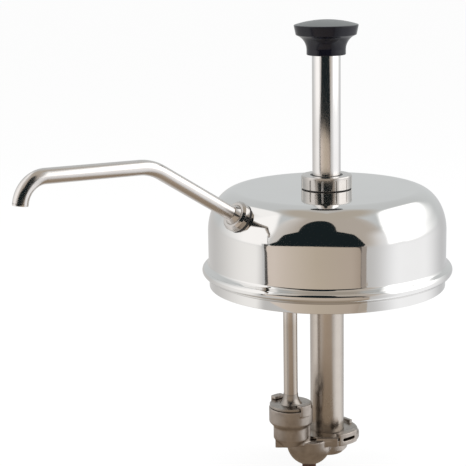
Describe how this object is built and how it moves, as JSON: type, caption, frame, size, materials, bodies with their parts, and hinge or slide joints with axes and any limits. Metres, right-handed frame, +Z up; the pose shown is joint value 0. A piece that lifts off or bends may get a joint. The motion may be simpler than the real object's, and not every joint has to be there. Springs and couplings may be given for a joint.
{
  "type": "condiment pump dispenser",
  "caption": "Hand pump on a domed drop-in lid: a sprung plunger in a cylinder draws sauce through a ball valve body and serves it from a bent spout.",
  "frame": {"origin": "on the lid's axis, at the plane where the underside of the lid's bead rests on the inset's rim", "axes": "+Z up along the plunger, -X towards the spout"},
  "size_m": [0.435, 0.228, 0.4164],
  "materials": {
    "polished_steel": "mirror polished stainless sheet",
    "satin_steel": "satin drawn stainless tube",
    "machined_steel": "turned stainless",
    "cast_steel": "tumbled investment cast stainless",
    "spring_steel": "drawn spring wire",
    "ball_steel": "ground and polished ball",
    "black_phenolic": "moulded, glossy",
    "bushing_plastic": "turned acetal",
    "seal_rubber": "moulded rubber",
    "seat_plastic": "turned dark acetal"
  },
  "bodies": {
    "base": {"lid_dome": "polished_steel", "cylinder_tube": "satin_steel", "cylinder_head": "machined_steel", "head_gasket": "seal_rubber", "collar_gasket": "seal_rubber", "collar_nut": "machined_steel", "plunger_bushing": "bushing_plastic", "spring_seat": "machined_steel", "return_spring": "spring_steel", "discharge_tube": "satin_steel", "discharge_ferrule": "machined_steel", "discharge_inner_gasket": "seal_rubber", "discharge_outer_gasket": "seal_rubber", "discharge_nut": "machined_steel", "riser_flange": "machined_steel", "riser_seal_ring": "seal_rubber", "cylinder_flange": "machined_steel", "cylinder_seal_ring": "seal_rubber", "valve_body": "cast_steel", "ball_stop_pin": "machined_steel", "inlet_seat": "seat_plastic"},
    "spring_top": {"spring_washer": "machined_steel"},
    "plunger": {"plunger_tube": "satin_steel", "plunger_foot_ring": "machined_steel", "plunger_rod": "machined_steel", "knob_insert": "machined_steel", "knob": "black_phenolic", "piston_upper_washer": "machined_steel", "piston_seal": "seal_rubber", "piston_lower_washer": "machined_steel", "piston_nut": "machined_steel"},
    "suction_ball": {"suction_ball": "ball_steel"},
    "discharge_ball": {"discharge_ball": "ball_steel"}
  },
  "joints": [
    {"name": "plunger_press", "type": "slide", "parent": "base", "child": "spring_top", "axis": [0, 0, -1], "range_m": [0, 0.06], "stiffness_N_per_m": 350, "springref_m": -0.03, "deforming": ["return_spring"]},
    {"name": "plunger_turn", "type": "hinge", "parent": "spring_top", "child": "plunger", "pos_m": [0, 0, 0], "axis": [0, 0, 1], "continuous": true},
    {"name": "suction_ball_lift", "type": "slide", "parent": "base", "child": "suction_ball", "axis": [0, 0, 1], "range_m": [0, 0.0042]},
    {"name": "discharge_ball_lift", "type": "slide", "parent": "base", "child": "discharge_ball", "axis": [0, 0, 1], "range_m": [0, 0.005]}
  ]
}
